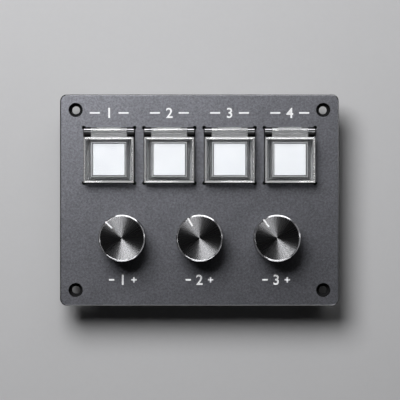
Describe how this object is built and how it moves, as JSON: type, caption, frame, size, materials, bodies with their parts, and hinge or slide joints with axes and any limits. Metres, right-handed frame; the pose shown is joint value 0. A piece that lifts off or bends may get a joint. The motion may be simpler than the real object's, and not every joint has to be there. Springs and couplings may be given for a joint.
{
  "type": "macro keypad with knobs",
  "caption": "Panel-mounted macro keypad: lit push keys under clear flip covers above a row of push-and-turn knobs, with a rear housing and cable socket.",
  "frame": {"origin": "on the surface the rubber feet stand on, under the middle of the panel", "axes": "+Z out of the panel's face, +Y towards the flip covers' hinges, +X to the right seen from the front edge"},
  "size_m": [0.12, 0.091, 0.035],
  "materials": {
    "panel_aluminium": "blasted and anodised dark grey",
    "housing_plastic": "moulded black, fine spark texture",
    "foot_rubber": "moulded black rubber",
    "black_steel": "black oxide",
    "standoff_brass": "turned",
    "board_laminate": "solder mask",
    "chip_plastic": "moulded",
    "capacitor_ceramic": "fired ceramic",
    "socket_steel": "drawn and plated",
    "lamp_resin": "cast resin",
    "plated_steel": "nickel plated",
    "frame_plastic": "moulded black",
    "switch_plastic": "moulded black, satin",
    "spring_steel": "drawn wire",
    "plunger_plastic": "moulded black",
    "diffuser_plastic": "milky, lit from below",
    "lens_clear": "clear polycarbonate",
    "cover_clear": "clear polycarbonate",
    "pin_chrome": "polished",
    "encoder_steel": "pressed case over a moulded base",
    "rotor_plastic": "moulded",
    "shaft_steel": "turned",
    "knob_aluminium": "black anodised, spun face, bright cut rim"
  },
  "bodies": {
    "case": {"front_panel": "panel_aluminium", "rear_housing": "housing_plastic", "rubber_feet": "foot_rubber", "housing_screws": "black_steel", "board_standoffs": "standoff_brass", "main_board": "board_laminate", "controller_chip": "chip_plastic", "chip_capacitors": "capacitor_ceramic", "cable_socket": "socket_steel", "key_lamps": "lamp_resin", "encoder_washers": "plated_steel", "encoder_nuts": "plated_steel", "key_frame_1": "frame_plastic", "switch_base_1": "switch_plastic", "return_spring_1": "spring_steel", "hinge_pin_1": "pin_chrome", "key_frame_2": "frame_plastic", "switch_base_2": "switch_plastic", "return_spring_2": "spring_steel", "hinge_pin_2": "pin_chrome", "key_frame_3": "frame_plastic", "switch_base_3": "switch_plastic", "return_spring_3": "spring_steel", "hinge_pin_3": "pin_chrome", "key_frame_4": "frame_plastic", "switch_base_4": "switch_plastic", "return_spring_4": "spring_steel", "hinge_pin_4": "pin_chrome", "encoder_body_1": "encoder_steel", "encoder_body_2": "encoder_steel", "encoder_body_3": "encoder_steel"},
    "key_1": {"key_plunger_1": "plunger_plastic", "key_diffuser_1": "diffuser_plastic", "key_lens_1": "lens_clear"},
    "cover_1": {"flip_cover_1": "cover_clear"},
    "key_2": {"key_plunger_2": "plunger_plastic", "key_diffuser_2": "diffuser_plastic", "key_lens_2": "lens_clear"},
    "cover_2": {"flip_cover_2": "cover_clear"},
    "key_3": {"key_plunger_3": "plunger_plastic", "key_diffuser_3": "diffuser_plastic", "key_lens_3": "lens_clear"},
    "cover_3": {"flip_cover_3": "cover_clear"},
    "key_4": {"key_plunger_4": "plunger_plastic", "key_diffuser_4": "diffuser_plastic", "key_lens_4": "lens_clear"},
    "cover_4": {"flip_cover_4": "cover_clear"},
    "rotor_1": {"encoder_rotor_1": "rotor_plastic"},
    "dial_1": {"encoder_shaft_1": "shaft_steel", "knob_1": "knob_aluminium", "knob_set_screw_1": "black_steel"},
    "rotor_2": {"encoder_rotor_2": "rotor_plastic"},
    "dial_2": {"encoder_shaft_2": "shaft_steel", "knob_2": "knob_aluminium", "knob_set_screw_2": "black_steel"},
    "rotor_3": {"encoder_rotor_3": "rotor_plastic"},
    "dial_3": {"encoder_shaft_3": "shaft_steel", "knob_3": "knob_aluminium", "knob_set_screw_3": "black_steel"}
  },
  "joints": [
    {"name": "key_1_press", "type": "slide", "parent": "case", "child": "key_1", "axis": [0, 0, -1], "range_m": [0, 0.0025], "stiffness_N_per_m": 300, "springref_m": -0.002, "deforming": ["return_spring_1"]},
    {"name": "cover_1_flip", "type": "hinge", "parent": "case", "child": "cover_1", "pos_m": [-0.03885, 0.0298, 0.0231], "axis": [-1, 0, 0], "range_deg": [0, 170]},
    {"name": "key_2_press", "type": "slide", "parent": "case", "child": "key_2", "axis": [0, 0, -1], "range_m": [0, 0.0025], "stiffness_N_per_m": 300, "springref_m": -0.002, "deforming": ["return_spring_2"]},
    {"name": "cover_2_flip", "type": "hinge", "parent": "case", "child": "cover_2", "pos_m": [-0.01295, 0.0298, 0.0231], "axis": [-1, 0, 0], "range_deg": [0, 170]},
    {"name": "key_3_press", "type": "slide", "parent": "case", "child": "key_3", "axis": [0, 0, -1], "range_m": [0, 0.0025], "stiffness_N_per_m": 300, "springref_m": -0.002, "deforming": ["return_spring_3"]},
    {"name": "cover_3_flip", "type": "hinge", "parent": "case", "child": "cover_3", "pos_m": [0.01295, 0.0298, 0.0231], "axis": [-1, 0, 0], "range_deg": [0, 170]},
    {"name": "key_4_press", "type": "slide", "parent": "case", "child": "key_4", "axis": [0, 0, -1], "range_m": [0, 0.0025], "stiffness_N_per_m": 300, "springref_m": -0.002, "deforming": ["return_spring_4"]},
    {"name": "cover_4_flip", "type": "hinge", "parent": "case", "child": "cover_4", "pos_m": [0.03885, 0.0298, 0.0231], "axis": [-1, 0, 0], "range_deg": [0, 170]},
    {"name": "knob_1_turn", "type": "hinge", "parent": "case", "child": "rotor_1", "pos_m": [-0.033, -0.0162, 0.02], "axis": [0, 0, 1], "continuous": true},
    {"name": "knob_1_push", "type": "slide", "parent": "rotor_1", "child": "dial_1", "axis": [0, 0, -1], "range_m": [0, 0.0005], "stiffness_N_per_m": 2000, "springref_m": -0.0015},
    {"name": "knob_2_turn", "type": "hinge", "parent": "case", "child": "rotor_2", "pos_m": [0, -0.0162, 0.02], "axis": [0, 0, 1], "continuous": true},
    {"name": "knob_2_push", "type": "slide", "parent": "rotor_2", "child": "dial_2", "axis": [0, 0, -1], "range_m": [0, 0.0005], "stiffness_N_per_m": 2000, "springref_m": -0.0015},
    {"name": "knob_3_turn", "type": "hinge", "parent": "case", "child": "rotor_3", "pos_m": [0.033, -0.0162, 0.02], "axis": [0, 0, 1], "continuous": true},
    {"name": "knob_3_push", "type": "slide", "parent": "rotor_3", "child": "dial_3", "axis": [0, 0, -1], "range_m": [0, 0.0005], "stiffness_N_per_m": 2000, "springref_m": -0.0015}
  ]
}
